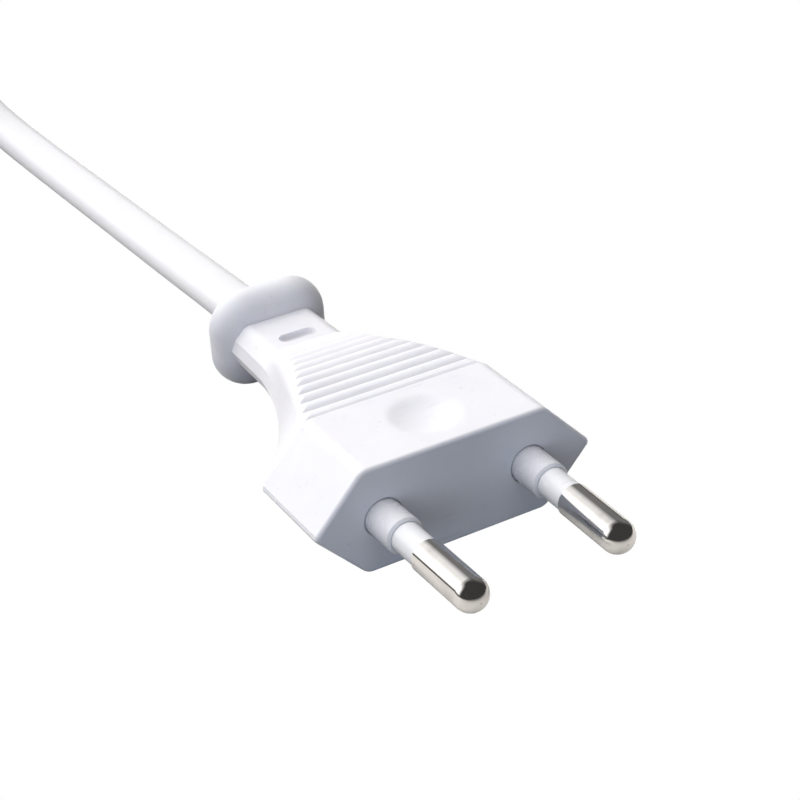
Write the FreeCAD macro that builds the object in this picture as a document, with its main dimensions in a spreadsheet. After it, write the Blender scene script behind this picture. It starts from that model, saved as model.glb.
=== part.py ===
import FreeCAD, Part
import math
import os

import Sketcher

# A flat two-pin mains plug, moulded on to a flat two-core lead.
# Millimetres. The origin is the centre of the engagement face, on the plane of the pin axes.
# The pins point to -Y, the lead leaves along +Y and the flat top of the head faces +Z.

os.makedirs("parts", exist_ok=True)
doc = FreeCAD.newDocument("plug")

SIZES = {
    # Moulded grip: the head, the ramp behind it, the neck and the finger guard.
    "head_width": 35.2,
    "head_height": 13.2,
    "head_depth": 12.6,
    "top_flat_width": 23.2,
    "side_land": 0.8,
    "side_draft": 0.35,
    "front_round": 0.5,
    "edge_reach": 0.5,
    "ramp_start": 18.0,
    "neck_start": 35.0,
    "neck_top_width": 8.8,
    "neck_width": 12.6,
    "neck_height": 6.24,
    "neck_wall": 3.0,
    "waist_end": 40.0,
    "guard_front": 43.0,
    "guard_thick": 4.3,
    "guard_width": 15.8,
    "guard_height": 13.0,
    "guard_corner": 5.0,
    "guard_front_round": 3.0,
    "guard_rear_round": 1.2,
    "rib_start": 12.9,
    "rib_pitch": 1.93,
    "rib_depth": 0.3,
    "dimple_place": 6.5,
    "dimple_width": 8.2,
    "dimple_depth": 0.7,
    "dimple_round": 4.0,
    "slot_place": 37.2,
    "slot_width": 5.0,
    "slot_long": 2.0,
    "slot_depth": 0.8,
    "slot_round": 0.5,
    # Pins, their sleeves and the bridge that carries them.
    "pin_length": 19.0,
    "pin_thick": 4.0,
    "pitch_at_face": 18.7,
    "pitch_at_tips": 18.1,
    "shank_thick": 3.0,
    "pin_shoulder_thick": 5.2,
    "pin_shoulder_place": 3.0,
    "pin_shoulder_long": 1.2,
    "barrel_thick": 3.2,
    "barrel_long": 6.5,
    "barrel_hole_depth": 5.5,
    "sleeve_thick": 3.64,
    "sleeve_bare": 8.8,
    "sleeve_root": 1.6,
    "collar_thick": 4.5,
    "collar_proud": 4.6,
    "collar_bevel": 0.25,
    "seam_width": 0.14,
    "seam_depth": 0.5,
    "bridge_width": 26.4,
    "bridge_height": 8.0,
    "bridge_place": 1.4,
    "bridge_long": 7.0,
    "bridge_corner": 1.5,
    # Flat lead.
    "lead_width": 6.6,
    "lead_thick": 4.1,
    "core_thick": 2.4,
    "core_pitch": 2.6,
    "strand_thick": 1.15,
    "sheath_start": 28.0,
    "strip_long": 2.5,
    "strand_bend": 5.0,
    "sheath_bend": 1.0,
    # Hank of the rest of the lead, folded in line with the plug.
    "hank_x": -16.0,
    "hank_near_y": 192.0,
    "hank_loop_pitch": 70.0,
    "hank_bend": 22.0,
    "hank_gap": 0.6,
    "tie_width": 4.0,
    "tie_thick": 0.6,
    "tie_clear": 0.3,
    # Prepared far end of the two cores.
    "tail_bend": 17.0,
    "tail_start_angle": 85.0,
    "tail_sweep_angle": 74.0,
    "tail_room_angle": 120.0,
    "tail_lift": 0.05,
    "tail_spread": 0.3,
    "ferrule_long": 8.0,
    "ferrule_thick": 1.5,
    "ferrule_recess": 0.3,
    "ferrule_collar_long": 3.0,
    "ferrule_collar_thick": 2.9,
    "ferrule_taper_long": 0.8,
    "ferrule_taper_depth": 0.35,
    # Space between a moulded piece and what it is moulded round.
    "mould_gap": 0.02,
}
RIBS = 11
RIB_FADE = 5  # power of the share of the ramp by which the grooves lose their depth
RAMP_SECTIONS = 7
HANK_LAYERS = 3
HANK_COLUMNS = 2
CUT_PAST = 1.0  # how far a cutting outline or solid runs past what it cuts
TOUCH = 1e-4  # points nearer than this to a plane lie on it

sheet = doc.addObject("Spreadsheet::Sheet", "sizes")
for row, (alias, number) in enumerate(SIZES.items(), start=1):
    sheet.set(f"A{row}", alias.replace("_", " "))
    sheet.set(f"B{row}", str(number))
    sheet.setAlias(f"B{row}", alias)
doc.recompute()


class Term:
    """A size worked out from the sheet: its number now, and the expression that keeps it."""

    def __init__(self, number, text):
        self.number = float(number)
        self.text = text

    def __add__(self, other):
        other = term(other)
        return Term(self.number + other.number, f"({self.text} + {other.text})")

    def __sub__(self, other):
        other = term(other)
        return Term(self.number - other.number, f"({self.text} - {other.text})")

    def __mul__(self, other):
        other = term(other)
        return Term(self.number * other.number, f"({self.text} * {other.text})")

    def __truediv__(self, other):
        other = term(other)
        return Term(self.number / other.number, f"({self.text} / {other.text})")

    def __neg__(self):
        return Term(-self.number, f"(0 - {self.text})")

    def root(self):
        return Term(math.sqrt(self.number), f"sqrt({self.text})")


def term(value):
    return value if isinstance(value, Term) else Term(value, repr(float(value)))


def size(alias):
    return Term(sheet.get(alias), f"sizes.{alias}")


NONE = term(0)
GAP = size("mould_gap")


def origin_plane(body, role):
    return next(o for o in body.Origin.OriginFeatures if o.Role == role)


def new_body(name):
    return doc.addObject("PartDesign::Body", name)


def new_sketch(body, name, role, offset=NONE):
    """A sketch on an origin plane of its own body, moved along the plane's normal."""
    sketch = body.newObject("Sketcher::SketchObject", name)
    sketch.AttachmentSupport = [(origin_plane(body, role), "")]
    sketch.MapMode = "FlatFace"
    sketch.AttachmentOffset = FreeCAD.Placement(FreeCAD.Vector(0, 0, offset.number), FreeCAD.Rotation())
    sketch.setExpression("AttachmentOffset.Base.z", offset.text)
    return sketch


def hold(sketch, line, end, x, y):
    """Hold one end of a line at x, y from the sketch's origin."""
    for kind, axis, value in (("DistanceX", -2, x), ("DistanceY", -1, y)):
        if abs(value.number) < 1e-9:
            sketch.addConstraint(Sketcher.Constraint("PointOnObject", line, end, axis))
            continue
        if value.number > 0:
            rule = Sketcher.Constraint(kind, -1, 1, line, end, value.number)
            text = value.text
        else:
            rule = Sketcher.Constraint(kind, line, end, -1, 1, -value.number)
            text = f"0 - {value.text}"
        sketch.setExpression(f"Constraints[{sketch.addConstraint(rule)}]", text)


def arc_on(before, start, end):
    """Arc from start to end that goes on tangent from the line before it."""
    along, chord = (start - before).normalize(), end - start
    inward = FreeCAD.Vector(-along.y, along.x, 0)
    radius = chord.Length ** 2 / (2 * inward.dot(chord))
    middle = start + inward * radius
    turns = [math.atan2(p.y - middle.y, p.x - middle.x) for p in (start, end)]
    return Part.ArcOfCircle(Part.Circle(middle, FreeCAD.Vector(0, 0, 1), radius), *turns)


def polygon(sketch, corners, arcs=()):
    """A closed outline through corners given as pairs of terms: lines, and arcs tangent to them."""
    points = [FreeCAD.Vector(x.number, y.number, 0) for x, y in corners]
    first = sketch.GeometryCount
    count = len(points)
    for i in range(count):
        before, start, end = points[i - 1], points[i], points[(i + 1) % count]
        side = arc_on(before, start, end) if i in arcs else Part.LineSegment(start, end)
        sketch.addGeometry(side, False)
    for i in range(count):
        after = (i + 1) % count
        kind = "Tangent" if after in arcs else "Coincident"
        sketch.addConstraint(Sketcher.Constraint(kind, first + i, 2, first + after, 1))
        hold(sketch, first + i, 1, *corners[i])


def turned(name, profile, round_end=False):
    """A turned piece about Y: its profile goes from the axis round to the axis again."""
    body = new_body(name)
    sketch = new_sketch(body, name + "_profile", "XY_Plane")
    points = [FreeCAD.Vector(x.number, y.number, 0) for x, y in profile]
    count = len(points)
    for i in range(count):
        start, end = points[i], points[(i + 1) % count]
        if i == 0 and round_end:
            middle = FreeCAD.Vector(0, end.y, 0)
            circle = Part.Circle(middle, FreeCAD.Vector(0, 0, 1), end.x)
            sketch.addGeometry(Part.ArcOfCircle(circle, -math.pi / 2, 0), False)
            sketch.addConstraint(Sketcher.Constraint("PointOnObject", 0, 3, -2))
        else:
            sketch.addGeometry(Part.LineSegment(start, end), False)
    for i in range(count):
        sketch.addConstraint(Sketcher.Constraint("Coincident", i, 2, (i + 1) % count, 1))
        if i == 1 and round_end:
            hold(sketch, 1, 1, *profile[1])
        else:
            hold(sketch, i, 1, *profile[i])
    spin = body.newObject("PartDesign::Revolution", name + "_turn")
    spin.Profile = sketch
    spin.ReferenceAxis = (sketch, ["V_Axis"])
    spin.Angle = 360
    return body


def padded(body, name, sketch, length, backward=False, midplane=False):
    pad = body.newObject("PartDesign::Pad", name)
    pad.Profile = sketch
    pad.Length = length.number
    pad.setExpression("Length", length.text)
    pad.Reversed = backward
    pad.Midplane = midplane
    return pad


def edges_where(shape, test):
    """Names of the edges whose end points, as a list, pass the test."""
    return [
        f"Edge{i}"
        for i, edge in enumerate(shape.Edges, start=1)
        if test([v.Point for v in edge.Vertexes])
    ]


def at_y(y):
    """Test for edges that lie at one y."""
    return lambda ends: all(abs(p.y - y) < TOUCH for p in ends)


def rounded(body, name, base, radius, test):
    doc.recompute()
    fillet = body.newObject("PartDesign::Fillet", name)
    fillet.Base = (base, edges_where(base.Shape, test))
    fillet.Radius = radius.number
    fillet.setExpression("Radius", radius.text)
    return fillet


def joined(name, pieces):
    fuse = doc.addObject("Part::MultiFuse", name)
    fuse.Shapes = pieces
    return fuse


def cut(name, base, tool):
    result = doc.addObject("Part::Cut", name)
    result.Base = base
    result.Tool = tool
    return result


def solid_feature(name, shape, place=None):
    feature = doc.addObject("Part::Feature", name)
    feature.Shape = shape
    feature.Placement = place or FreeCAD.Placement()
    return feature


# The moulded grip

half_width = size("head_width") / 2
half_height = size("head_height") / 2
half_flat = size("top_flat_width") / 2
half_land = size("side_land") / 2
neck_half = size("neck_width") / 2
neck_top_half = size("neck_top_width") / 2
neck_up = size("neck_height") / 2
neck_land = size("neck_wall") / 2


def arc_radius(run, rise):
    """Radius of an arc that leaves a line tangent and rises this much over this run."""
    return (run * run + rise * rise) / (rise * 2)


def arc_rise(radius, run):
    return radius - (radius * radius - run * run).root()


waist_radius = arc_radius(size("waist_end") - size("head_depth"), half_width - neck_half)
ramp_radius = arc_radius(size("neck_start") - size("ramp_start"), half_height - neck_up)


def half_width_at(y):
    if y.number < size("head_depth").number:
        return half_width
    run = size("waist_end") - y
    return neck_half + arc_rise(waist_radius, run) if run.number > 0 else neck_half


def half_height_at(y):
    run = y - size("ramp_start")
    if run.number <= 0:
        return half_height
    if y.number >= size("neck_start").number:
        return neck_up
    return half_height - arc_rise(ramp_radius, run)


def grip_section(y):
    """Corners of the section at y: flat top and bottom, slopes, and drafted side walls."""
    share = (y - size("head_depth")) / (size("neck_start") - size("head_depth"))
    if share.number <= 0:
        share = NONE
    if share.number > 1:
        share = term(1)
    eased = share * share * (term(3) - share * 2)
    flat = half_flat + (neck_top_half - half_flat) * share
    land = half_land + (neck_land - half_land) * eased
    wide = half_width_at(y)
    up = half_height_at(y)
    inner = wide - size("side_draft") * land
    reach, fall = size("edge_reach"), (up - land) / (inner - flat)
    low = up - reach * fall
    on_flat, on_slope = flat - reach * (fall * fall + term(1)).root(), flat + reach
    return [
        (wide, NONE), (inner, land), (on_slope, low), (on_flat, up), (-on_flat, up), (-on_slope, low),
        (-inner, land), (-wide, NONE), (-inner, -land), (-on_slope, -low), (-on_flat, -up),
        (on_flat, -up), (on_slope, -low), (inner, -land),
    ]


def section_sketch(body, name, y):
    """Its four arcs round the long edges of the flat top and bottom."""
    sketch = new_sketch(body, name, "XZ_Plane", -y)
    polygon(sketch, grip_section(y), arcs=(2, 4, 9, 11))
    return sketch


def rounded_rectangle(sketch, width, height, corner):
    """Rounded rectangle about the sketch's origin, each arc tangent to both its lines."""
    w, h, r = width.number / 2, height.number / 2, corner.number
    turns = [(w - r, h - r, 0), (-w + r, h - r, 90), (-w + r, -h + r, 180), (w - r, -h + r, 270)]
    arcs = []
    for x, y, start in turns:
        circle = Part.Circle(FreeCAD.Vector(x, y, 0), FreeCAD.Vector(0, 0, 1), r)
        arc = Part.ArcOfCircle(circle, math.radians(start), math.radians(start + 90))
        arcs.append(sketch.addGeometry(arc, False))
    lines = []
    for i in range(4):
        start, end = sketch.getPoint(arcs[i], 2), sketch.getPoint(arcs[(i + 1) % 4], 1)
        lines.append(sketch.addGeometry(Part.LineSegment(start, end), False))
    for i in range(4):
        sketch.addConstraint(Sketcher.Constraint("Tangent", arcs[i], 2, lines[i], 1))
        sketch.addConstraint(Sketcher.Constraint("Tangent", lines[i], 2, arcs[(i + 1) % 4], 1))
    for i in range(1, 4):
        sketch.addConstraint(Sketcher.Constraint("Equal", arcs[0], arcs[i]))
    sketch.addConstraint(Sketcher.Constraint("Horizontal", lines[0]))
    sketch.addConstraint(Sketcher.Constraint("Vertical", lines[1]))
    sketch.addConstraint(Sketcher.Constraint("Horizontal", lines[2]))
    sketch.addConstraint(Sketcher.Constraint("Vertical", lines[3]))
    sketch.addConstraint(Sketcher.Constraint("Symmetric", lines[0], 1, lines[2], 1, -1, 1))
    for kind, first, second, value in (
        ("DistanceX", (lines[1], 1), (lines[3], 1), width),
        ("DistanceY", (lines[2], 1), (lines[0], 1), height),
    ):
        rule = Sketcher.Constraint(kind, *first, *second, value.number)
        sketch.setExpression(f"Constraints[{sketch.addConstraint(rule)}]", value.text)
    rule = Sketcher.Constraint("Radius", arcs[0], r)
    sketch.setExpression(f"Constraints[{sketch.addConstraint(rule)}]", corner.text)


def rib_outline(sketch, side):
    """What is cut away over the ribs: round crests that touch the ramp, with grooves that fade out."""
    start, pitch = sheet.get("rib_start"), sheet.get("rib_pitch")
    depth = sheet.get("rib_depth")
    above = side * (half_height.number + CUT_PAST)
    end = start + RIBS * pitch

    def on_ramp(y, lower=0.0):
        return FreeCAD.Vector(y, side * (half_height_at(term(y)).number - lower), 0)

    grooves = [on_ramp(start + i * pitch, depth * (1 - (i / RIBS) ** RIB_FADE)) for i in range(RIBS + 1)]
    for i in range(RIBS):
        crest = Part.Arc(grooves[i], on_ramp(start + (i + 0.5) * pitch), grooves[i + 1])
        sketch.addGeometry(crest, False)
    corners = [grooves[-1], FreeCAD.Vector(end, above, 0), FreeCAD.Vector(start, above, 0), grooves[0]]
    for a, b in zip(corners, corners[1:]):
        sketch.addGeometry(Part.LineSegment(a, b), False)


def stadium(sketch, middle_y, width, long):
    """A slot of this width along X and this length along Y."""
    r = long.number / 2
    reach = width.number / 2 - r
    y = middle_y.number
    ends = []
    for x, start in ((reach, -90), (-reach, 90)):
        circle = Part.Circle(FreeCAD.Vector(x, y, 0), FreeCAD.Vector(0, 0, 1), r)
        arc = Part.ArcOfCircle(circle, math.radians(start), math.radians(start + 180))
        ends.append(sketch.addGeometry(arc, False))
    for a, b in ((0, 1), (1, 0)):
        line = Part.LineSegment(sketch.getPoint(ends[a], 2), sketch.getPoint(ends[b], 1))
        at = sketch.addGeometry(line, False)
        sketch.addConstraint(Sketcher.Constraint("Tangent", ends[a], 2, at, 1))
        sketch.addConstraint(Sketcher.Constraint("Tangent", at, 2, ends[b], 1))
    sketch.addConstraint(Sketcher.Constraint("Equal", ends[0], ends[1]))
    hold(sketch, ends[0], 3, width / 2 - long / 2, middle_y)
    hold(sketch, ends[1], 3, long / 2 - width / 2, middle_y)
    rule = Sketcher.Constraint("Radius", ends[0], r)
    sketch.setExpression(f"Constraints[{sketch.addConstraint(rule)}]", (long / 2).text)


def grip():
    body = new_body("grip")
    guard_sketch = new_sketch(body, "guard_outline", "XZ_Plane", -size("guard_front"))
    rounded_rectangle(guard_sketch, size("guard_width"), size("guard_height"), size("guard_corner"))
    guard = padded(body, "guard", guard_sketch, size("guard_thick"), backward=True)
    front_y = sheet.get("guard_front")
    rear_y = front_y + sheet.get("guard_thick")
    front_rim = rounded(body, "guard_front_rim", guard, size("guard_front_round"), at_y(front_y))
    rounded(body, "guard_rear_rim", front_rim, size("guard_rear_round"), at_y(rear_y))

    neck_sections = [
        section_sketch(body, "neck_section_front", size("neck_start")),
        section_sketch(body, "neck_section_rear", size("guard_front") + size("guard_thick") / 2),
    ]
    neck = body.newObject("PartDesign::AdditiveLoft", "neck")
    neck.Profile = neck_sections[0]
    neck.Sections = neck_sections[1:]
    neck.Ruled = True

    step = (size("neck_start") - size("head_depth")) / (RAMP_SECTIONS - 1)
    sections = [
        section_sketch(body, f"ramp_section_{i}", size("head_depth") + step * i)
        for i in range(RAMP_SECTIONS)
    ]
    ramp = body.newObject("PartDesign::AdditiveLoft", "ramp")
    ramp.Profile = sections[0]
    ramp.Sections = sections[1:]

    head_sketch = section_sketch(body, "head_section", NONE)
    head = padded(body, "head", head_sketch, size("head_depth"), backward=True)

    rounded(body, "face_edges", head, size("front_round"), at_y(0))

    rib_sketch = new_sketch(body, "rib_outline", "YZ_Plane")
    rib_outline(rib_sketch, 1)
    rib_outline(rib_sketch, -1)
    ribs = body.newObject("PartDesign::Pocket", "ribs")
    ribs.Profile = rib_sketch
    ribs.Type = "ThroughAll"
    ribs.Midplane = True

    def on_dimple_rim(ends):
        return all(abs(abs(p.z) - half_height.number) < TOUCH
                   and abs(p.x) < sheet.get("dimple_width") / 2 + TOUCH for p in ends)

    def on_slot_floor(ends):
        return all(abs(abs(p.z) - neck_up.number + sheet.get("slot_depth")) < TOUCH
                   and abs(p.y - sheet.get("slot_place")) < sheet.get("slot_long") / 2 + TOUCH for p in ends)

    dimple_radius = arc_radius(size("dimple_width") / 2, size("dimple_depth"))
    for side in (1, -1):
        name = "upper" if side > 0 else "lower"
        ball = body.newObject("PartDesign::SubtractiveSphere", f"dimple_{name}")
        ball.AttachmentSupport = [(origin_plane(body, "XY_Plane"), "")]
        ball.MapMode = "FlatFace"
        ball.Radius = dimple_radius.number
        ball.setExpression("Radius", dimple_radius.text)
        middle = (half_height - size("dimple_depth") + dimple_radius) * side
        ball.setExpression("AttachmentOffset.Base.y", size("dimple_place").text)
        ball.setExpression("AttachmentOffset.Base.z", middle.text)

        slot_sketch = new_sketch(body, f"slot_outline_{name}", "XY_Plane", neck_up * side)
        stadium(slot_sketch, size("slot_place"), size("slot_width"), size("slot_long"))
        slot = body.newObject("PartDesign::Pocket", f"slot_{name}")
        slot.Profile = slot_sketch
        slot.Length = sheet.get("slot_depth")
        slot.setExpression("Length", size("slot_depth").text)
        slot.Reversed = side < 0
    dimple_rims = rounded(body, "dimple_rims", slot, size("dimple_round"), on_dimple_rim)
    rounded(body, "slot_floors", dimple_rims, size("slot_round"), on_slot_floor)
    return body


# Pins, sleeves and the bridge

pin_lean = math.degrees(math.atan2(
    (sheet.get("pitch_at_face") - sheet.get("pitch_at_tips")) / 2, sheet.get("pin_length")))


def at_pin(side):
    """Placement of a pin's own axis: it starts on the face and leans in towards the tips."""
    base = FreeCAD.Vector(side * sheet.get("pitch_at_face") / 2, 0, 0)
    return FreeCAD.Placement(base, FreeCAD.Rotation(FreeCAD.Vector(0, 0, 1), -side * pin_lean))


bridge_rear = size("bridge_place") + size("bridge_long")
barrel_end = bridge_rear + size("barrel_long")
strand_end = barrel_end - size("barrel_hole_depth")


def pin_profile(grow):
    """Solid pin with a round end, a thin shank, a holding shoulder and a crimp barrel."""
    thick, shank = size("pin_thick") / 2 + grow, size("shank_thick") / 2 + grow
    shoulder, barrel = size("pin_shoulder_thick") / 2 + grow, size("barrel_thick") / 2 + grow
    shoulder_at = size("pin_shoulder_place")
    tip = -size("pin_length") - grow
    outline = [
        (NONE, tip), (thick, tip + thick), (thick, -size("sleeve_bare") + grow),
        (shank, -size("sleeve_bare") + grow), (shank, shoulder_at - grow),
        (shoulder, shoulder_at - grow), (shoulder, shoulder_at + size("pin_shoulder_long") + grow),
        (shank, shoulder_at + size("pin_shoulder_long") + grow), (shank, bridge_rear - grow),
        (barrel, bridge_rear - grow), (barrel, barrel_end + grow),
    ]
    if grow.number > 0:
        return outline + [(NONE, barrel_end + grow)]
    hole = size("strand_thick") / 2 + GAP
    return outline + [(hole, barrel_end), (hole, strand_end - GAP), (NONE, strand_end - GAP)]


def sleeve_profile(grow):
    """Insulating sleeve: from the bare metal back into the bridge."""
    outer = size("sleeve_thick") / 2 + grow
    front, rear = -size("sleeve_bare") + GAP - grow, size("sleeve_root") + grow
    if grow.number > 0:
        return [(NONE, front), (outer, front), (outer, rear), (NONE, rear)]
    inner = size("shank_thick") / 2 + GAP
    return [(inner, front), (outer, front), (outer, rear), (inner, rear)]


def collar_profile(grow):
    """Collar of the bridge. The space for it is wider at the face, as a narrow open seam."""
    outer, bevel = size("collar_thick") / 2 + grow, size("collar_bevel")
    front, rear = -size("collar_proud") - grow, size("bridge_place") + size("bridge_long") / 2
    if grow.number > 0:
        seam, deep = outer + size("seam_width"), size("seam_depth")
        return [(NONE, front), (seam, front), (seam, deep), (outer, deep), (outer, rear), (NONE, rear)]
    return [(NONE, front), (outer - bevel, front), (outer, front + bevel), (outer, rear), (NONE, rear)]


def bridge_block(name, grow):
    body = new_body(name)
    sketch = new_sketch(body, name + "_outline", "XZ_Plane", -size("bridge_place") + grow)
    width, height = size("bridge_width") + grow * 2, size("bridge_height") + grow * 2
    rounded_rectangle(sketch, width, height, size("bridge_corner") + grow)
    padded(body, name + "_pad", sketch, size("bridge_long") + grow * 2, backward=True)
    return body


SIDES = {"left": -1, "right": 1}


def on_pins(name, make_profile, grow, round_end=False):
    """The same turned piece on both pin axes."""
    pieces = []
    for label, side in SIDES.items():
        piece = turned(f"{name}_{label}", make_profile(grow), round_end)
        piece.Placement = at_pin(side)
        pieces.append(piece)
    return pieces


# The flat lead


def tangent_path(corners, share=0.45):
    """Straight runs joined by tangent arcs, each as large as its two runs allow."""
    points = [FreeCAD.Vector(*p) for p in corners]
    edges, radii, length = [], [], 0.0
    start = points[0]
    for before, corner, after in zip(points, points[1:], points[2:]):
        back, ahead = (before - corner), (after - corner)
        reach = share * min(back.Length, ahead.Length)
        turn = math.pi - back.getAngle(ahead)
        radius = reach / math.tan(turn / 2)
        back, ahead = back.normalize(), ahead.normalize()
        enter, leave = corner + back * reach, corner + ahead * reach
        middle = corner + (back + ahead).normalize() * (radius / math.cos(turn / 2) - radius)
        edges += [Part.LineSegment(start, enter).toShape(), Part.Arc(enter, middle, leave).toShape()]
        length += (enter - start).Length + radius * turn
        radii.append(radius)
        start = leave
    edges.append(Part.LineSegment(start, points[-1]).toShape())
    length += (points[-1] - start).Length
    return Part.Wire(edges), radii, length


def lead_face(y, width, thick):
    """Section of the flat lead at y, with its width along X."""
    r, reach = thick / 2, (width - thick) / 2
    corners = [FreeCAD.Vector(x, y, z) for x, z in ((-reach, r), (reach, r), (reach, -r), (-reach, -r))]
    right, left = FreeCAD.Vector(reach + r, y, 0), FreeCAD.Vector(-reach - r, y, 0)
    outline = Part.Wire([
        Part.LineSegment(corners[0], corners[1]).toShape(),
        Part.Arc(corners[1], right, corners[2]).toShape(),
        Part.LineSegment(corners[2], corners[3]).toShape(),
        Part.Arc(corners[3], left, corners[0]).toShape(),
    ])
    return Part.Face(outline)


ALONG = FreeCAD.Vector(0, 1, 0)
exit_y = sheet.get("guard_front") + sheet.get("guard_thick")
gap = sheet.get("mould_gap")
core_radius = sheet.get("core_thick") / 2
strand_radius = sheet.get("strand_thick") / 2
core_x = sheet.get("core_pitch") / 2


def core_path(side):
    """Centreline of one core: from a crimp barrel in to the sheath, and out to its end."""
    lean = math.tan(math.radians(pin_lean))
    face_x = sheet.get("pitch_at_face") / 2
    start_y = strand_end.number
    bend_y = barrel_end.number + sheet.get("strand_bend")
    return tangent_path([
        (side * (face_x + start_y * lean), start_y, 0),
        (side * (face_x + bend_y * lean), bend_y, 0),
        (side * core_x, sheet.get("sheath_start") - sheet.get("sheath_bend"), 0),
        (side * core_x, exit_y, 0),
    ])[0]


def core_pipe(side, radius):
    path = core_path(side)
    first = path.Edges[0]
    direction = first.tangentAt(first.FirstParameter)
    circle = Part.Wire(Part.Circle(first.Vertexes[0].Point, direction, radius).toShape())
    return path.makePipeShell([circle], True, False)


def strands(name, side, grow=0.0):
    return solid_feature(name, core_pipe(side, strand_radius + grow))


strip_start = barrel_end.number + sheet.get("strip_long")


def insulated(side, radius, start_y):
    """A core's insulation, full round, from where it is stripped."""
    reach = sheet.get("head_width")
    bare = Part.makeBox(2 * reach, start_y + reach, 2 * reach, FreeCAD.Vector(-reach, -reach, -reach))
    return core_pipe(side, radius).cut(bare)


def core(name, side):
    insulation = insulated(side, core_radius, strip_start)
    return solid_feature(name, insulation.cut(core_pipe(side, strand_radius + gap)))


def core_space(name, side):
    return solid_feature(name, insulated(side, core_radius + gap, strip_start - gap))


def sheath_in_plug(name):
    """The end of the sheath inside the grip, bored for its two cores."""
    start = sheet.get("sheath_start")
    face = lead_face(start, sheet.get("lead_width"), sheet.get("lead_thick"))
    sheath = face.extrude(ALONG * (exit_y - start))
    for side in SIDES.values():
        sheath = sheath.cut(core_pipe(side, core_radius + gap))
    return solid_feature(name, sheath)


def sheath_space(name):
    start = sheet.get("sheath_start") - gap
    face = lead_face(start, sheet.get("lead_width") + 2 * gap, sheet.get("lead_thick") + 2 * gap)
    return solid_feature(name, face.extrude(ALONG * (exit_y + CUT_PAST - start)))


floor_z = -sheet.get("head_height") / 2
laid_z = floor_z + sheet.get("lead_thick") / 2
hank_x, hank_y = sheet.get("hank_x"), sheet.get("hank_near_y")
hank_far_y = hank_y + sheet.get("hank_loop_pitch")
hank_half = sheet.get("lead_thick") * HANK_COLUMNS / 2
layer_height = sheet.get("lead_width")
upper_layer_z = floor_z + layer_height * (HANK_LAYERS - 1)

# Points of the free lead: out of the finger guard, down on to the floor and up to the hank.
LEAD_ROUTE = [
    (0.0, exit_y, 0.0),
    (0.1, 58.0, -0.45),
    (0.5, 74.0, -1.85),
    (0.9, 92.0, -3.2),
    (0.9, 110.0, -4.05),
    (0.5, 128.0, -4.5),
    (0.0, 146.0, laid_z),
    (0.4, 161.0, laid_z),
    (1.2, 177.0, laid_z),
]


def lead_run(name):
    """The lead's free stretch, which ends against the wall of the hank."""
    path, radii, length = tangent_path(LEAD_ROUTE)
    section = lead_face(exit_y, sheet.get("lead_width"), sheet.get("lead_thick"))
    tube = path.makePipeShell([section.OuterWire], True, False)
    print("free lead radii", [round(r, 1) for r in radii])
    print("free lead", round(length, 2), "volume", round(tube.Volume, 1),
          "section times length", round(section.Area * length, 1))
    return solid_feature(name, tube.cut(hank_ring(floor_z - CUT_PAST, layer_height * HANK_LAYERS)))


def hank_face(offset, z):
    """The hank's plan, moved out by offset: two loops drawn together at a waist."""
    bend = sheet.get("hank_bend")
    half_pitch = sheet.get("hank_loop_pitch") / 2
    waist = hank_half + sheet.get("hank_gap") / 2
    side_radius = (half_pitch ** 2 + waist ** 2 - bend ** 2) / (2 * (bend - waist))
    opening = math.atan2(half_pitch, side_radius + waist)
    near = FreeCAD.Vector(hank_x, hank_y, z)
    middle = near + ALONG * half_pitch
    far = middle + ALONG * half_pitch
    loop = bend + offset
    across = FreeCAD.Vector(waist + offset, 0, 0)

    def on_loop(centre, angle):
        return centre + FreeCAD.Vector(loop * math.cos(angle), loop * math.sin(angle), 0)

    near_left, near_right = on_loop(near, math.pi - opening), on_loop(near, opening)
    far_right, far_left = on_loop(far, -opening), on_loop(far, math.pi + opening)
    arcs = [
        Part.Arc(near_left, on_loop(near, -math.pi / 2), near_right),
        Part.Arc(near_right, middle + across, far_right),
        Part.Arc(far_right, on_loop(far, math.pi / 2), far_left),
        Part.Arc(far_left, middle - across, near_left),
    ]
    return Part.Face(Part.Wire([arc.toShape() for arc in arcs]))


def hank_ring(bottom, height):
    ring = hank_face(hank_half, bottom).cut(hank_face(-hank_half, bottom))
    return ring.extrude(FreeCAD.Vector(0, 0, height))


def hank(name):
    """The outer shape of the folded lead on edge. The top layer's inner turn stops short of the tie."""
    low = hank_ring(floor_z, upper_layer_z - floor_z)
    top = hank_ring(upper_layer_z, layer_height)
    axis = FreeCAD.Vector(0, 0, 1)
    centre = FreeCAD.Vector(hank_x, hank_far_y, upper_layer_z)
    tail_room = Part.makeCylinder(sheet.get("hank_bend"), layer_height, centre, axis,
                                  sheet.get("tail_room_angle"))
    tail_room.rotate(centre, axis, sheet.get("tail_start_angle"))
    band = sheet.get("tie_width") + 2 * sheet.get("tie_clear")
    across = sheet.get("hank_bend") * 2
    waist_y = hank_y + sheet.get("hank_loop_pitch") / 2
    corner = FreeCAD.Vector(hank_x - across / 2, waist_y - band / 2, floor_z)
    tie_room = Part.makeBox(across, band, sheet.get("tie_thick") + sheet.get("tie_clear"), corner)
    return solid_feature(name, low.fuse(top.cut(tail_room)).removeSplitter().cut(tie_room))


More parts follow.
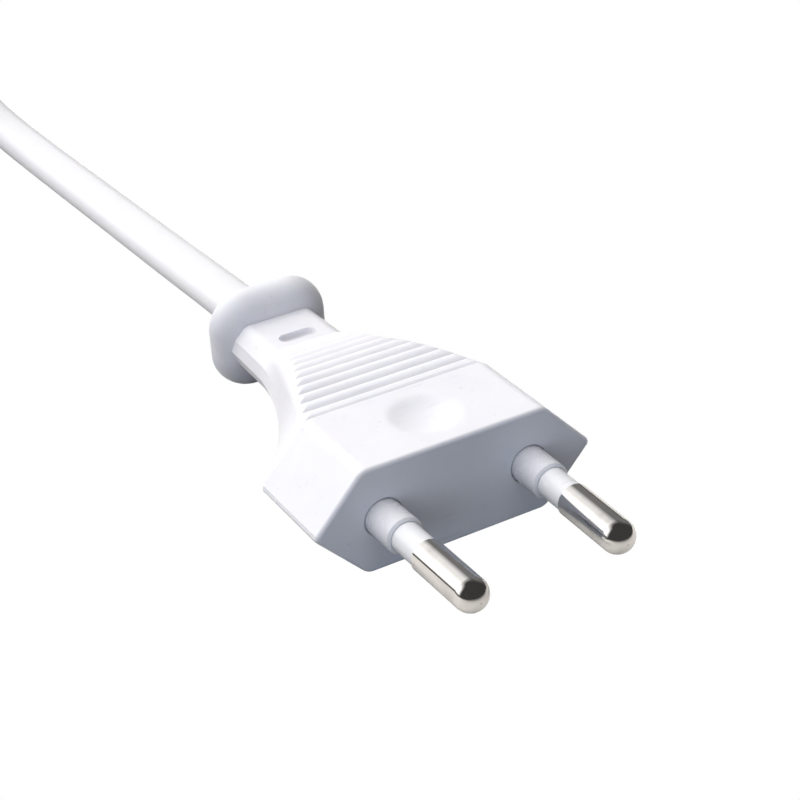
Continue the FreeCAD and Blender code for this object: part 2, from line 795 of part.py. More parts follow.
def tie(name):
    """A flat band round both sides of the hank at its waist."""
    body = new_body(name)
    waist_y = size("hank_near_y") + size("hank_loop_pitch") / 2
    sketch = new_sketch(body, name + "_section", "XZ_Plane", -waist_y)
    inner_half = size("lead_thick") * HANK_COLUMNS + size("hank_gap") / 2 + size("tie_clear")
    outer_half = inner_half + size("tie_thick")
    under = -half_height
    over = under + size("tie_thick") + size("lead_width") * HANK_LAYERS + size("tie_clear")
    for half, low, high in (
        (outer_half, under, over + size("tie_thick")),
        (inner_half, under + size("tie_thick"), over),
    ):
        left, right = size("hank_x") - half, size("hank_x") + half
        polygon(sketch, [(left, low), (right, low), (right, high), (left, high)])
    padded(body, name + "_pad", sketch, size("tie_width"), midplane=True)
    return body


# The prepared ends of the two cores, which lie inside the far loop on the hank's second layer

tail_pitch = sheet.get("ferrule_collar_thick") + sheet.get("tail_spread")
tail_low_z = upper_layer_z + sheet.get("ferrule_collar_thick") / 2 + sheet.get("tail_lift")
tail_in = sheet.get("hank_bend") - sheet.get("lead_thick") / 2 - sheet.get("tail_bend")


def tail_centre(side):
    """Middle of a core's bend: one core over the other, where the top layer's inner turn ends."""
    angle = math.radians(sheet.get("tail_start_angle"))
    z = tail_low_z if side < 0 else tail_low_z + tail_pitch
    return FreeCAD.Vector(hank_x + tail_in * math.cos(angle), hank_far_y + tail_in * math.sin(angle), z)


def on_tail(side):
    """Placement whose Y runs along a core's straight end, from the end of its bend."""
    turn = sheet.get("tail_start_angle") + sheet.get("tail_sweep_angle")
    out = FreeCAD.Vector(math.cos(math.radians(turn)), math.sin(math.radians(turn)), 0)
    return FreeCAD.Placement(tail_centre(side) + out * sheet.get("tail_bend"),
                             FreeCAD.Rotation(FreeCAD.Vector(0, 0, 1), turn))


def tail_core(name, side):
    bend = doc.addObject("Part::Torus", name)
    bend.setExpression("Radius1", size("tail_bend").text)
    bend.setExpression("Radius2", (size("core_thick") / 2).text)
    bend.setExpression("Angle3", size("tail_sweep_angle").text)
    bend.Placement = FreeCAD.Placement(
        tail_centre(side), FreeCAD.Rotation(FreeCAD.Vector(0, 0, 1), sheet.get("tail_start_angle")))
    return bend


def ferrule_tube(name, side):
    outer, inner = size("ferrule_thick") / 2, size("strand_thick") / 2
    start = size("ferrule_collar_long")
    end = start + size("ferrule_long")
    wire_end = end - size("ferrule_recess")
    piece = turned(name, [(NONE, start), (outer, start), (outer, end), (inner, end),
                          (inner, wire_end), (NONE, wire_end)])
    piece.Placement = on_tail(side)
    return piece


def ferrule_collar(name, side):
    outer = size("ferrule_collar_thick") / 2
    taper = outer - size("ferrule_taper_depth")
    end = size("ferrule_collar_long")
    taper_at = end - size("ferrule_taper_long")
    piece = turned(name, [(NONE, NONE), (outer, NONE), (outer, taper_at), (taper, end), (NONE, end)])
    piece.Placement = on_tail(side)
    return piece


# Build

parts = {}
pins = on_pins("pin", pin_profile, NONE, round_end=True)
sleeves = on_pins("pin_sleeve", sleeve_profile, NONE)
pin_spaces = on_pins("pin_space", pin_profile, GAP, round_end=True)
sleeve_spaces = on_pins("sleeve_space", sleeve_profile, GAP)
collars = on_pins("collar", collar_profile, NONE)
collar_spaces = on_pins("collar_space", collar_profile, GAP)
for piece in pins + sleeves:
    parts[piece.Name] = piece

carrier_solid = joined("carrier_solid", [bridge_block("bridge", NONE)] + collars)
carrier_spaces = joined("carrier_spaces", pin_spaces + sleeve_spaces)
parts["pin_carrier"] = cut("pin_carrier", carrier_solid, carrier_spaces)

spaces = [bridge_block("bridge_space", GAP)] + collar_spaces + pin_spaces
for label, side in SIDES.items():
    parts[f"strands_{label}"] = strands(f"strands_{label}", side)
    parts[f"core_{label}"] = core(f"core_{label}", side)
    spaces += [strands(f"strand_space_{label}", side, gap), core_space(f"core_space_{label}", side)]
parts["sheath_in_plug"] = sheath_in_plug("sheath_in_plug")
spaces.append(sheath_space("sheath_space"))
parts["plug_body"] = cut("plug_body", grip(), joined("grip_spaces", spaces))

parts["cord_run"] = lead_run("cord_run")
parts["cord_hank"] = hank("cord_hank")
parts["cord_tie"] = tie("cord_tie")
for label, side in SIDES.items():
    parts[f"tail_core_{label}"] = tail_core(f"tail_core_{label}", side)
    parts[f"ferrule_tube_{label}"] = ferrule_tube(f"ferrule_tube_{label}", side)
    parts[f"ferrule_collar_{label}"] = ferrule_collar(f"ferrule_collar_{label}", side)

doc.recompute()
for item in doc.Objects:
    if {"Invalid", "Error"} & set(item.State):
        raise RuntimeError(f"{item.Name} did not build: {item.State}")
for label, piece in parts.items():
    piece.Label = label
    if piece.Shape.isNull() or not piece.Shape.isValid():
        raise RuntimeError(f"{label} has no valid shape")
    print(label, len(piece.Shape.Solids), "solid", round(piece.Shape.Volume, 2))
    piece.Shape.exportStep(f"parts/{label}.step")
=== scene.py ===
import bpy
import math
from mathutils import Matrix, Vector


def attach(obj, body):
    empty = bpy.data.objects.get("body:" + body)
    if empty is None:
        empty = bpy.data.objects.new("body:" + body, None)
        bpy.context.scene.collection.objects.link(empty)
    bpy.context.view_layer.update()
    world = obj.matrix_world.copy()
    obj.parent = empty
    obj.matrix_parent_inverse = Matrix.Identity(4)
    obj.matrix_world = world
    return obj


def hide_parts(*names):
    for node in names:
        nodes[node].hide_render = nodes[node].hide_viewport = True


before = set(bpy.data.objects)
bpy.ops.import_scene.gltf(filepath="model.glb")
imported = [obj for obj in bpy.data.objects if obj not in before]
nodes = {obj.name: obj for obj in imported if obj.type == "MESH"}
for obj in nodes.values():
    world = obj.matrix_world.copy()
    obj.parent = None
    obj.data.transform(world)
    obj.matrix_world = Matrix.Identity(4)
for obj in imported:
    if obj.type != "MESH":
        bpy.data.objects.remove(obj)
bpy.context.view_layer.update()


# The plug body: one moulding of white PVC round the pins and the end of the lead. Its skin is the
# satin, very slightly uneven one of a spark-finished mould, with small specks and scuffs of dust.

def new_group(name, inputs, outputs):
    """A shader node group with named inputs and outputs."""
    group = bpy.data.node_groups.new(name, "ShaderNodeTree")
    for label, kind, default in inputs:
        socket = group.interface.new_socket(label, in_out="INPUT", socket_type=kind)
        if default is not None:
            socket.default_value = default
    for label, kind in outputs:
        group.interface.new_socket(label, in_out="OUTPUT", socket_type=kind)
    return group, group.nodes.new("NodeGroupInput"), group.nodes.new("NodeGroupOutput")


def noise(tree, vector, scale, detail, roughness=0.5):
    texture = tree.nodes.new("ShaderNodeTexNoise")
    texture.inputs["Scale"].default_value = scale
    texture.inputs["Detail"].default_value = detail
    texture.inputs["Roughness"].default_value = roughness
    tree.links.new(vector, texture.inputs["Vector"])
    return texture.outputs["Fac"]


def spread(tree, value, low, high, from_low=0.3, from_high=0.7):
    """A value mapped from from_low..from_high, by default the middle of a noise, to low..high."""
    node = tree.nodes.new("ShaderNodeMapRange")
    node.inputs["From Min"].default_value = from_low
    node.inputs["From Max"].default_value = from_high
    for label, given in (("To Min", low), ("To Max", high)):
        if isinstance(given, (int, float)):
            node.inputs[label].default_value = given
        else:
            tree.links.new(given, node.inputs[label])
    tree.links.new(value, node.inputs["Value"])
    return node.outputs["Result"]


def arithmetic(tree, operation, a, b):
    node = tree.nodes.new("ShaderNodeMath")
    node.operation = operation
    for i, given in enumerate((a, b)):
        if isinstance(given, (int, float)):
            node.inputs[i].default_value = given
        else:
            tree.links.new(given, node.inputs[i])
    return node.outputs["Value"]


# Where a Mix node set to colours has its factor, its two colours and its result.
MIX_SHARE, MIX_FIRST, MIX_SECOND, MIX_RESULT = 0, 6, 7, 2


def blended(tree, share, first, second):
    """Colour between first and second by share."""
    node = tree.nodes.new("ShaderNodeMix")
    node.data_type = "RGBA"
    for i, given in ((MIX_SHARE, share), (MIX_FIRST, first), (MIX_SECOND, second)):
        if isinstance(given, (int, float, tuple)):
            node.inputs[i].default_value = given
        else:
            tree.links.new(given, node.inputs[i])
    return node.outputs[MIX_RESULT]


def stretched(tree, vector, x, y, z, turn=0.0):
    """The vector scaled along each axis, after a turn about Z."""
    node = tree.nodes.new("ShaderNodeMapping")
    node.inputs["Scale"].default_value = (x, y, z)
    node.inputs["Rotation"].default_value = (0, 0, turn)
    tree.links.new(vector, node.inputs["Vector"])
    return node.outputs["Vector"]


def moulded_skin_group():
    """Skin of a moulded or extruded plastic: cloudy colour, uneven gloss, fine grain and marks."""
    group, given, made = new_group(
        "moulded_skin",
        [("Colour", "NodeSocketColor", None), ("Cloud Colour", "NodeSocketColor", None),
         ("Mark Colour", "NodeSocketColor", None), ("Cloudiness", "NodeSocketFloat", 0.4),
         ("Roughness", "NodeSocketFloat", 0.4), ("Gloss Change", "NodeSocketFloat", 0.06),
         ("Grain per m", "NodeSocketFloat", 4000.0), ("Grain Height", "NodeSocketFloat", 0.5),
         ("Wave Height", "NodeSocketFloat", 1.0), ("Marks", "NodeSocketFloat", 0.5)],
        [("Colour", "NodeSocketColor"), ("Roughness", "NodeSocketFloat"),
         ("Height", "NodeSocketFloat")],
    )
    clouds_per_m, specks_per_m, worn_per_m = 130.0, 1500.0, 120.0
    gloss_per_m, waves_per_m, mark_dulling = 900.0, 260.0, 0.15
    place = group.nodes.new("ShaderNodeTexCoord").outputs["Object"]
    cloud = noise(group, place, clouds_per_m, detail=5.0, roughness=0.68)
    share = arithmetic(group, "MULTIPLY", spread(group, cloud, 0.0, 1.0),
                       given.outputs["Cloudiness"])
    clouded = blended(group, share, given.outputs["Colour"], given.outputs["Cloud Colour"])

    specks = spread(group, noise(group, place, specks_per_m, detail=1.0), 0.0, 1.0,
                    from_low=0.71, from_high=0.78)
    worn = spread(group, noise(group, place, worn_per_m, detail=1.0), 0.0, 1.0,
                  from_low=0.52, from_high=0.62)
    hairs = noise(group, stretched(group, place, 170.0, 4200.0, 1500.0, turn=0.35), 1.0, detail=2.0)
    scuffs = arithmetic(group, "MULTIPLY",
                        spread(group, hairs, 0.0, 1.0, from_low=0.62, from_high=0.72), worn)
    marks = arithmetic(group, "MULTIPLY", arithmetic(group, "MAXIMUM", specks, scuffs),
                       given.outputs["Marks"])
    group.links.new(blended(group, marks, clouded, given.outputs["Mark Colour"]),
                    made.inputs["Colour"])

    shine = noise(group, place, gloss_per_m, detail=2.0)
    change = arithmetic(group, "MULTIPLY", spread(group, shine, -1.0, 1.0),
                        given.outputs["Gloss Change"])
    gloss = arithmetic(group, "ADD", given.outputs["Roughness"], change)
    dulled = arithmetic(group, "MULTIPLY", marks, mark_dulling)
    group.links.new(arithmetic(group, "ADD", gloss, dulled), made.inputs["Roughness"])

    grain = group.nodes.new("ShaderNodeTexNoise")
    grain.inputs["Detail"].default_value = 2.0
    group.links.new(place, grain.inputs["Vector"])
    group.links.new(given.outputs["Grain per m"], grain.inputs["Scale"])
    fine = arithmetic(group, "MULTIPLY", grain.outputs["Fac"], given.outputs["Grain Height"])
    wave = arithmetic(group, "MULTIPLY", noise(group, place, waves_per_m, detail=1.0),
                      given.outputs["Wave Height"])
    height = arithmetic(group, "SUBTRACT", arithmetic(group, "ADD", fine, wave), marks)
    group.links.new(height, made.inputs["Height"])
    return group


moulded_skin = moulded_skin_group()


def new_material(name):
    """A material with an empty Principled surface: the material, its tree and the surface node."""
    material = bpy.data.materials.new(name)
    material.use_nodes = True
    tree = material.node_tree
    surface = tree.nodes["Principled BSDF"]
    return material, tree, surface


def plastic(name, colour, cloud_colour, mark_colour, roughness, cloudiness=0.4, gloss_change=0.06,
            grain_per_m=4000.0, grain_height=0.5, wave_height=1.0, marks=0.3, bump_distance=0.00001,
            subsurface=0.0, coat=0.0):
    material, tree, surface = new_material(name)
    skin = tree.nodes.new("ShaderNodeGroup")
    skin.node_tree = moulded_skin
    for label, value in (("Colour", colour), ("Cloud Colour", cloud_colour),
                         ("Mark Colour", mark_colour), ("Cloudiness", cloudiness),
                         ("Roughness", roughness), ("Gloss Change", gloss_change),
                         ("Grain per m", grain_per_m), ("Grain Height", grain_height),
                         ("Wave Height", wave_height), ("Marks", marks)):
        skin.inputs[label].default_value = value
    tree.links.new(skin.outputs["Colour"], surface.inputs["Base Color"])
    tree.links.new(skin.outputs["Roughness"], surface.inputs["Roughness"])
    bump = tree.nodes.new("ShaderNodeBump")
    bump.inputs["Distance"].default_value = bump_distance
    tree.links.new(skin.outputs["Height"], bump.inputs["Height"])
    tree.links.new(bump.outputs["Normal"], surface.inputs["Normal"])
    surface.inputs["Subsurface Weight"].default_value = subsurface
    surface.inputs["Subsurface Radius"].default_value = (0.0012, 0.0011, 0.0010)
    surface.inputs["Coat Weight"].default_value = coat
    surface.inputs["IOR"].default_value = 1.52
    return material


def dress(names, material):
    """Give CAD nodes a material in their own slots."""
    for name in names:
        slots = nodes[name].material_slots
        if not slots:
            nodes[name].data.materials.append(material)
        for slot in slots:
            slot.link = "OBJECT"
            slot.material = material


DUST = (0.52, 0.51, 0.54, 1)
grip_pvc = plastic("grip_pvc", (0.895, 0.885, 0.92, 1), (0.83, 0.82, 0.87, 1), DUST, cloudiness=0.6,
                   roughness=0.42, marks=0.22, bump_distance=0.000012, subsurface=0.5)
dress(["plug_body"], grip_pvc)


# The pin carrier: a hard bridge inside the moulding, made before it. Only its two round collars
# show, where they come through the face round the pins. Same white, but glossier.

carrier_plastic = plastic("carrier_plastic", (0.87, 0.865, 0.9, 1), (0.82, 0.815, 0.86, 1), DUST,
                          roughness=0.26, gloss_change=0.04, marks=0.2, coat=0.2)
dress(["pin_carrier"], carrier_plastic)


# The pins: solid round brass, turned, nickel plated and polished, with a thin shank behind the bare
# part that the sleeve sits in. Fine turning lines run round them, with small scratches along.

def turned_metal_group():
    """Plated turned metal: fine lines round Y, light scratches along it and dull patches."""
    group, given, made = new_group(
        "turned_metal",
        [("Colour", "NodeSocketColor", None), ("Dull Colour", "NodeSocketColor", None),
         ("Roughness", "NodeSocketFloat", 0.12), ("Dulling", "NodeSocketFloat", 0.1),
         ("Line Height", "NodeSocketFloat", 1.0)],
        [("Colour", "NodeSocketColor"), ("Roughness", "NodeSocketFloat"),
         ("Height", "NodeSocketFloat")],
    )
    patches_per_m = 420.0
    place = group.nodes.new("ShaderNodeTexCoord").outputs["Object"]
    lines = noise(group, stretched(group, place, 40.0, 9000.0, 40.0), 1.0, detail=2.0)
    scratches = noise(group, stretched(group, place, 5000.0, 160.0, 5000.0), 1.0, detail=2.0)
    patches = noise(group, place, patches_per_m, detail=4.0)
    dull = spread(group, patches, 0.0, 1.0, from_low=0.45, from_high=0.75)
    group.links.new(blended(group, dull, given.outputs["Colour"], given.outputs["Dull Colour"]),
                    made.inputs["Colour"])
    extra = arithmetic(group, "MULTIPLY", dull, given.outputs["Dulling"])
    scratch = spread(group, scratches, 0.0, 0.05, from_low=0.6, from_high=0.8)
    worn = arithmetic(group, "ADD", given.outputs["Roughness"], extra)
    group.links.new(arithmetic(group, "ADD", worn, scratch), made.inputs["Roughness"])
    group.links.new(arithmetic(group, "MULTIPLY", lines, given.outputs["Line Height"]),
                    made.inputs["Height"])
    return group


turned_metal = turned_metal_group()
LINE_DEPTH = 0.000002


def plated(name, colour, dull_colour, roughness, dulling, line_height=1.0):
    material, tree, surface = new_material(name)
    finish = tree.nodes.new("ShaderNodeGroup")
    finish.node_tree = turned_metal
    for label, value in (("Colour", colour), ("Dull Colour", dull_colour), ("Roughness", roughness),
                         ("Dulling", dulling), ("Line Height", line_height)):
        finish.inputs[label].default_value = value
    tree.links.new(finish.outputs["Colour"], surface.inputs["Base Color"])
    tree.links.new(finish.outputs["Roughness"], surface.inputs["Roughness"])
    bump = tree.nodes.new("ShaderNodeBump")
    bump.inputs["Distance"].default_value = LINE_DEPTH
    tree.links.new(finish.outputs["Height"], bump.inputs["Height"])
    tree.links.new(bump.outputs["Normal"], surface.inputs["Normal"])
    surface.inputs["Metallic"].default_value = 1.0
    return material


pin_nickel = plated("pin_nickel", (0.80, 0.785, 0.765, 1), (0.68, 0.665, 0.64, 1), roughness=0.1,
                    dulling=0.07, line_height=0.25)
dress(["pin_left", "pin_right"], pin_nickel)


# The pin sleeves: thin white nylon tubes moulded on the shanks, so that no live metal shows while
# the plug is half way in. They are smoother and glossier than the grip.

sleeve_nylon = plastic("sleeve_nylon", (0.9, 0.895, 0.915, 1), (0.87, 0.865, 0.89, 1), DUST,
                       roughness=0.2, gloss_change=0.04, wave_height=2.0, marks=0.2)
dress(["pin_sleeve_left", "pin_sleeve_right"], sleeve_nylon)


# Inside the grip: bare copper strands crimped in the pins, the two insulated cores, brown and blue,
# and the end of the sheath that the grip is moulded round.

copper = plated("copper", (0.86, 0.48, 0.30, 1), (0.58, 0.30, 0.18, 1), roughness=0.3, dulling=0.2)
core_brown = plastic("core_brown", (0.12, 0.045, 0.02, 1), (0.09, 0.03, 0.015, 1),
                     (0.2, 0.13, 0.1, 1), roughness=0.35)
core_blue = plastic("core_blue", (0.02, 0.08, 0.36, 1), (0.015, 0.06, 0.28, 1),
                    (0.12, 0.16, 0.34, 1), roughness=0.35)
lead_pvc = plastic("lead_pvc", (0.9, 0.888, 0.91, 1), (0.86, 0.85, 0.88, 1), DUST, cloudiness=0.5,
                   roughness=0.4, grain_per_m=2200.0, grain_height=0.15, wave_height=0.5, marks=0.2,
                   bump_distance=0.000006, subsurface=0.15)
dress(["strands_left", "strands_right"], copper)
dress(["core_left"], core_brown)
dress(["core_right"], core_blue)
dress(["sheath_in_plug"], lead_pvc)


# The lead: flat two-core cord, 6.6 mm wide and 4.1 mm thick, extruded white PVC. It lies flat as it
# leaves the guard, sinks to the floor, then turns on edge and is folded into a tied hank.

MM = 0.001
LEAD_WIDTH, LEAD_THICK = 6.6 * MM, 4.1 * MM
EXIT = (0, 0.0473, 0)
FLOOR_Z = -0.0066
ON_FLOOR = FLOOR_Z + LEAD_THICK / 2
LEAD_ROUTE = [
    EXIT, (0.0001, 0.058, -0.00045), (0.0005, 0.074, -0.00185), (0.0009, 0.092, -0.0032),
    (0.0009, 0.110, -0.00405), (0.0005, 0.128, -0.0045), (0, 0.146, ON_FLOOR),
    (0.0004, 0.161, -0.00395), (0.0044, 0.174, -0.0034),
]
# Along Y, where the lead starts and ends its turn on edge. An earlier start dips under the floor.
EDGE_START, EDGE_END = 0.15, 0.19
HANK_MIDDLE = Vector((-0.016, 0.227, 0))
LOOP_PITCH = 0.070
LOOP_RADIUS = 0.022
WAIST_HALF = 0.0044
ENTRY_ANGLE = math.radians(-15.4)
TAIL_ANGLE = math.radians(85.0)
ARC_STEP = math.radians(27.0)
# The tie passes under the lead at the waist and lifts it: by how much, how far to each side along Y
# it lifts it fully, and where the lead is down again.
TIE_HUMP = 0.75 * MM
HUMP_TOP, HUMP_FOOT = 0.004, 0.014
WHOLE_TURNS = 4
TAIL_LAYER = 2.5

half_pitch = LOOP_PITCH / 2
side_radius = (half_pitch ** 2 + WAIST_HALF ** 2 - LOOP_RADIUS ** 2) / (
    2 * (LOOP_RADIUS - WAIST_HALF))
opening = math.atan2(half_pitch, side_radius + WAIST_HALF)
side_middle = Vector((side_radius + WAIST_HALF, 0, 0))
loop_middle = Vector((0, half_pitch, 0))
# One turn, counter-clockwise from where the lead comes in: each arc's middle, whether it bulges
# out, and its first and last angle.
TURN_ARCS = [
    (HANK_MIDDLE - loop_middle, 1, ENTRY_ANGLE, opening),
    (HANK_MIDDLE + side_middle, -1, math.pi + opening, math.pi - opening),
    (HANK_MIDDLE + loop_middle, 1, -opening, math.pi + opening),
    (HANK_MIDDLE - side_middle, -1, opening, -opening),
    (HANK_MIDDLE - loop_middle, 1, math.pi - opening, 2 * math.pi + ENTRY_ANGLE),
]


def arc_length(arc):
    radius = LOOP_RADIUS if arc[1] > 0 else side_radius
    return radius * abs(arc[3] - arc[2])


turn_length = sum(arc_length(arc) for arc in TURN_ARCS)
to_tail = arc_length(TURN_ARCS[0]) + arc_length(TURN_ARCS[1]) + LOOP_RADIUS * (opening + TAIL_ANGLE)
TURNS = WHOLE_TURNS + to_tail / turn_length
# Where the cord changes its place in the hank, in turns from its start: from and to, then how far
# it moves out (in lead thicknesses) and up (in lead widths).
CHANGES = [
    ((0.77, 0.90), -1, 0), ((1.65, 1.78), 0, 1), ((2.54, 2.66), 1, 0), ((3.42, 3.55), 0, 1),
    ((4.20, 4.33), -1, 0),
]


def eased(value, start, end):
    share = min(max((value - start) / (end - start), 0), 1)
    return share * share * (3 - 2 * share)


def hank_points():
    """Control points of the hank's turns: two for each place, one on each side of a step of arc."""
    points = []
    for turn in range(math.ceil(TURNS)):
        run = 0.0
        for middle, bulge, first, last in TURN_ARCS:
            steps = max(round(abs(last - first) / ARC_STEP), 1)
            step = (last - first) / steps
            base = LOOP_RADIUS if bulge > 0 else side_radius
            for i in range(steps):
                angle = first + (i + 0.5) * step
                along = turn + (run + base * abs(step) * (i + 0.5)) / turn_length
                if along > TURNS:
                    return points
                out, up = 0.5, 0.0
                for (start, end), outward, upward in CHANGES:
                    out += outward * eased(along, start, end)
                    up += upward * eased(along, start, end)
                radius = (base + bulge * out * LEAD_THICK) / math.cos(step / 2)
                point = middle + Vector((math.cos(angle), math.sin(angle), 0)) * radius
                hump = TIE_HUMP * (1 - eased(abs(point.y - HANK_MIDDLE.y), HUMP_TOP, HUMP_FOOT))
                point.z = FLOOR_Z + LEAD_WIDTH * (0.5 + up) + hump
                points.append(point)
            run += base * abs(last - first)
    return points


SIDE_STEPS = 10


def flat_section(name, width, thick):
    """Outline of a flat cord, as the bevel of its curve."""
    curve = bpy.data.curves.new(name, "CURVE")
    curve.dimensions = "2D"
    outline = curve.splines.new("POLY")
    reach, r = (width - thick) / 2, thick / 2
    corners = []
    for side in (1, -1):
        for i in range(SIDE_STEPS + 1):
            angle = math.pi * (i / SIDE_STEPS - 0.5) + (0 if side > 0 else math.pi)
            corners.append((side * reach + r * math.cos(angle), r * math.sin(angle)))
    outline.points.add(len(corners) - 1)
    for point, (x, y) in zip(outline.points, corners):
        point.co = (x, y, 0, 1)
    outline.use_cyclic_u = True
    piece = bpy.data.objects.new(name, curve)
    bpy.context.scene.collection.objects.link(piece)
    piece.hide_render = True
    return piece


def smooth_line(name, points, tilts, section, resolution):
    """A smooth cord through control points, turned about its own line by the tilts."""
    curve = bpy.data.curves.new(name, "CURVE")
    curve.dimensions = "3D"
    curve.twist_mode = "Z_UP"
    spline = curve.splines.new("NURBS")
    spline.points.add(len(points) - 1)
    for point, place, tilt in zip(spline.points, points, tilts):
        point.co = (*place, 1)
        point.tilt = tilt
    spline.order_u = 3
    spline.use_endpoint_u = True
    spline.resolution_u = resolution
    spline.use_smooth = True
    curve.use_fill_caps = True
    curve.bevel_mode = "OBJECT"
    curve.bevel_object = section
    piece = bpy.data.objects.new(name, curve)
    bpy.context.scene.collection.objects.link(piece)
    return piece


tail_start = HANK_MIDDLE + loop_middle + Vector((math.cos(TAIL_ANGLE), math.sin(TAIL_ANGLE), 0)) * (
    LOOP_RADIUS - LEAD_THICK / 2)
tail_start.z = FLOOR_Z + LEAD_WIDTH * TAIL_LAYER
turns = hank_points() + [tail_start]
lead_points = [Vector(p) for p in LEAD_ROUTE] + turns
on_edge = math.pi / 2
lead_tilts = [on_edge * eased(p[1], EDGE_START, EDGE_END) for p in LEAD_ROUTE]
lead_tilts += [on_edge] * len(turns)
lead_section = flat_section("lead_section", LEAD_WIDTH, LEAD_THICK)
lead = smooth_line("lead", lead_points, lead_tilts, section=lead_section, resolution=8)
lead.data.materials.append(lead_pvc)
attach(lead, "root")
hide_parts("cord_run", "cord_hank")


# The hank's tie: a flat white band closed round the waist of the hank.

tie_vinyl = plastic("tie_vinyl", (0.83, 0.83, 0.84, 1), (0.78, 0.78, 0.8, 1), DUST, roughness=0.3)
dress(["cord_tie"], tie_vinyl)


# The far end: the cores stripped of their sheath, each with a crimped wire-end ferrule of tinned
# copper and its grey plastic collar.

tinned = plated("tinned", (0.78, 0.78, 0.77, 1), (0.62, 0.62, 0.61, 1), roughness=0.25,
                dulling=0.15)
collar_grey = plastic("collar_grey", (0.28, 0.29, 0.3, 1), (0.24, 0.25, 0.26, 1),
                      (0.36, 0.36, 0.36, 1), roughness=0.4)
dress(["tail_core_left"], core_brown)
dress(["tail_core_right"], core_blue)
dress(["ferrule_tube_left", "ferrule_tube_right"], tinned)
dress(["ferrule_collar_left", "ferrule_collar_right"], collar_grey)


# The floor: a plain pale sheet that the plug lies on, seen as white paper. The pins mirror it
# with painted shade, darker towards the front, and to bounced light it is painted almost black,
# so it throws little light back on the plug.

FLOOR_HALF = 6.0


def square(name, half, z):
    mesh = bpy.data.meshes.new(name)
    corners = [(-half, -half, z), (half, -half, z), (half, half, z), (-half, half, z)]
    mesh.from_pydata(corners, [], [(0, 1, 2, 3)])
    piece = bpy.data.objects.new(name, mesh)
    bpy.context.scene.collection.objects.link(piece)
    return piece


floor = square("floor", FLOOR_HALF, FLOOR_Z)
floor_material, floor_tree, floor_surface = new_material("pale_paper")
# Painted shade: to light bounced off the floor it is almost black, though the camera sees it white.
floor_surface.inputs["Base Color"].default_value = (0.08, 0.08, 0.08, 1)
floor_surface.inputs["Roughness"].default_value = 0.8


def as_seen_by(ray, others, shader):
    """One shader for rays of one kind over what the other rays see."""
    chosen = floor_tree.nodes.new("ShaderNodeMixShader")
    floor_tree.links.new(rays.outputs[ray], chosen.inputs["Fac"])
    floor_tree.links.new(others, chosen.inputs[1])
    floor_tree.links.new(shader, chosen.inputs[2])
    return chosen.outputs["Shader"]


rays = floor_tree.nodes.new("ShaderNodeLightPath")
painted_mirror_floor = floor_tree.nodes.new("ShaderNodeBsdfDiffuse")
floor_place = floor_tree.nodes.new("ShaderNodeSeparateXYZ")
floor_tree.links.new(floor_tree.nodes.new("ShaderNodeTexCoord").outputs["Object"],
                     floor_place.inputs["Vector"])
# Painted shade: the floor the pins mirror goes from light beige to dark grey towards the front, in
# place of the shadow and dark room there.
painted_front_shade = spread(floor_tree, floor_place.outputs["Y"], 1.0, 0.0,
                       from_low=-0.09, from_high=-0.015)
floor_tree.links.new(blended(floor_tree, painted_front_shade, (0.8, 0.77, 0.73, 1), (0.22, 0.21, 0.2, 1)),
                     painted_mirror_floor.inputs["Color"])
white = floor_tree.nodes.new("ShaderNodeEmission")
mirrored = as_seen_by("Is Glossy Ray", floor_surface.outputs["BSDF"], painted_mirror_floor.outputs["BSDF"])
seen = as_seen_by("Is Camera Ray", mirrored, white.outputs["Emission"])
floor_tree.links.new(seen, floor_tree.nodes["Material Output"].inputs["Surface"])
floor.data.materials.append(floor_material)


# Studio light: soft boxes at the left, behind and above, a cool weak one low in front, and a lit
# white backdrop behind the plug that fades to the right and upwards. The rest of the room is dark.

def soft_box(name, place, aim, width, height, power, colour=(1.0, 1.0, 1.0)):
    light = bpy.data.lights.new(name, "AREA")
    light.shape = "RECTANGLE"
    light.size, light.size_y = width, height
    light.energy = power
    light.color = colour
    piece = bpy.data.objects.new(name, light)
    bpy.context.scene.collection.objects.link(piece)
    piece.location = place
    piece.rotation_mode = "QUATERNION"
    piece.rotation_quaternion = (Vector(aim) - Vector(place)).to_track_quat("-Z", "Y")
    piece.visible_camera = False
    piece.visible_glossy = False


GRIP_MIDDLE = (0, 0.02, 0)
soft_box("box_left", (-0.85, 0.1, 0.42), GRIP_MIDDLE, width=0.6, height=0.5, power=1.2)
soft_box("box_rear", (0, 0.9, 0.65), GRIP_MIDDLE, width=1.5, height=0.8, power=5.6)
soft_box("box_front", (-0.45, -0.9, 0.2), GRIP_MIDDLE, width=1.5, height=0.5, power=3.9,
         colour=(0.7, 0.82, 1.0))
soft_box("box_above", (-0.1, 0.2, 1.0), GRIP_MIDDLE, width=1.2, height=1.0, power=8.0)

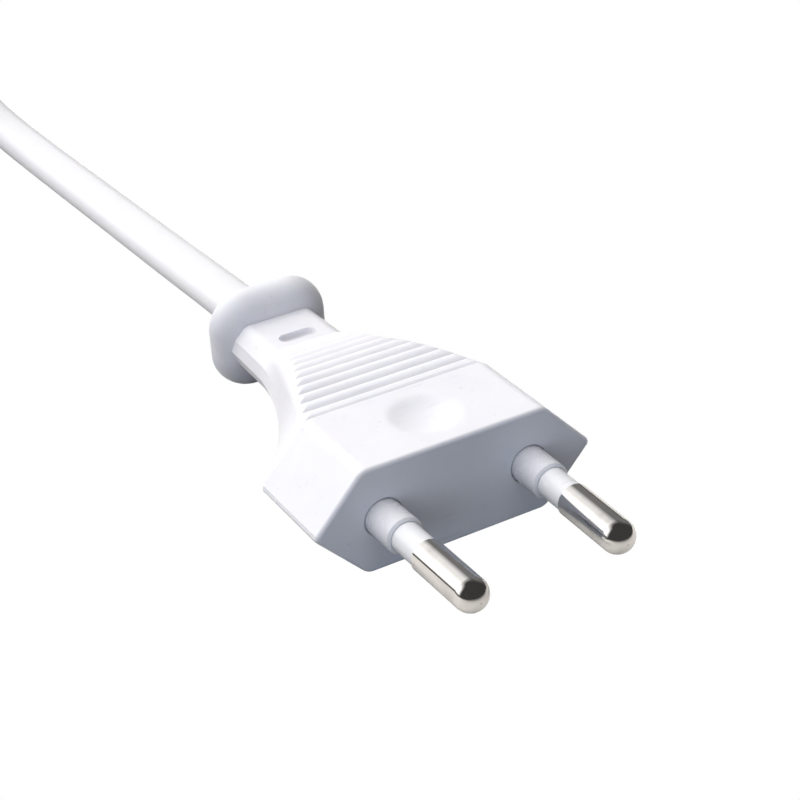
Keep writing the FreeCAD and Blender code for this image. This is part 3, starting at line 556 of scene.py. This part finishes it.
BACKDROP_LIGHT, ROOM_LIGHT = 1.5, 0.05
world = bpy.data.worlds.new("studio")
bpy.context.scene.world = world
world.use_nodes = True
sky = world.node_tree
background = sky.nodes["Background"]
direction = sky.nodes.new("ShaderNodeSeparateXYZ")
sky.links.new(sky.nodes.new("ShaderNodeTexCoord").outputs["Generated"], direction.inputs["Vector"])
across = spread(sky, direction.outputs["X"], 1.0, 0.1, from_low=0.06, from_high=0.4)
upwards = spread(sky, direction.outputs["Z"], 1.0, 0.0, from_low=0.6, from_high=0.92)
foot = spread(sky, direction.outputs["Z"], 0.0, 1.0, from_low=0.11, from_high=0.17)
behind = spread(sky, direction.outputs["Y"], 0.0, 1.0, from_low=0.05, from_high=0.35)
backdrop = arithmetic(sky, "MULTIPLY", arithmetic(sky, "MULTIPLY", across, upwards),
                      arithmetic(sky, "MULTIPLY", behind, foot))
background.inputs["Color"].default_value = (1.0, 0.99, 0.98, 1)
lit = arithmetic(sky, "MULTIPLY", backdrop, BACKDROP_LIGHT)
sky.links.new(arithmetic(sky, "ADD", lit, ROOM_LIGHT), background.inputs["Strength"])


# The camera: fitted to the photograph, 208 mm from the plug and 30 degrees above the floor.

AZIMUTH, ELEVATION, ROLL = math.radians(-28.69), math.radians(30.11), math.radians(-3.42)
DISTANCE = 207.98 * MM
ASIDE, ABOVE = 6.31 * MM, -9.87 * MM
FOCAL_PX, FRAME_PX, SENSOR = 1900.5, 800, 36.0
back = Vector((math.sin(AZIMUTH) * math.cos(ELEVATION), -math.cos(AZIMUTH) * math.cos(ELEVATION),
               math.sin(ELEVATION)))
level_right = Vector((math.cos(AZIMUTH), math.sin(AZIMUTH), 0))
level_up = back.cross(level_right)
right = level_right * math.cos(ROLL) + level_up * math.sin(ROLL)
up = -level_right * math.sin(ROLL) + level_up * math.cos(ROLL)
camera_data = bpy.data.cameras.new("camera")
camera_data.sensor_width = SENSOR
camera_data.lens = FOCAL_PX / FRAME_PX * SENSOR
camera_data.clip_start = 0.01
camera = bpy.data.objects.new("camera", camera_data)
bpy.context.scene.collection.objects.link(camera)
camera.matrix_world = Matrix.Translation(back * DISTANCE - right * ASIDE - up * ABOVE) @ Matrix(
    (right, up, back)).transposed().to_4x4()
bpy.context.scene.camera = camera
bpy.context.scene.view_settings.view_transform = "Standard"
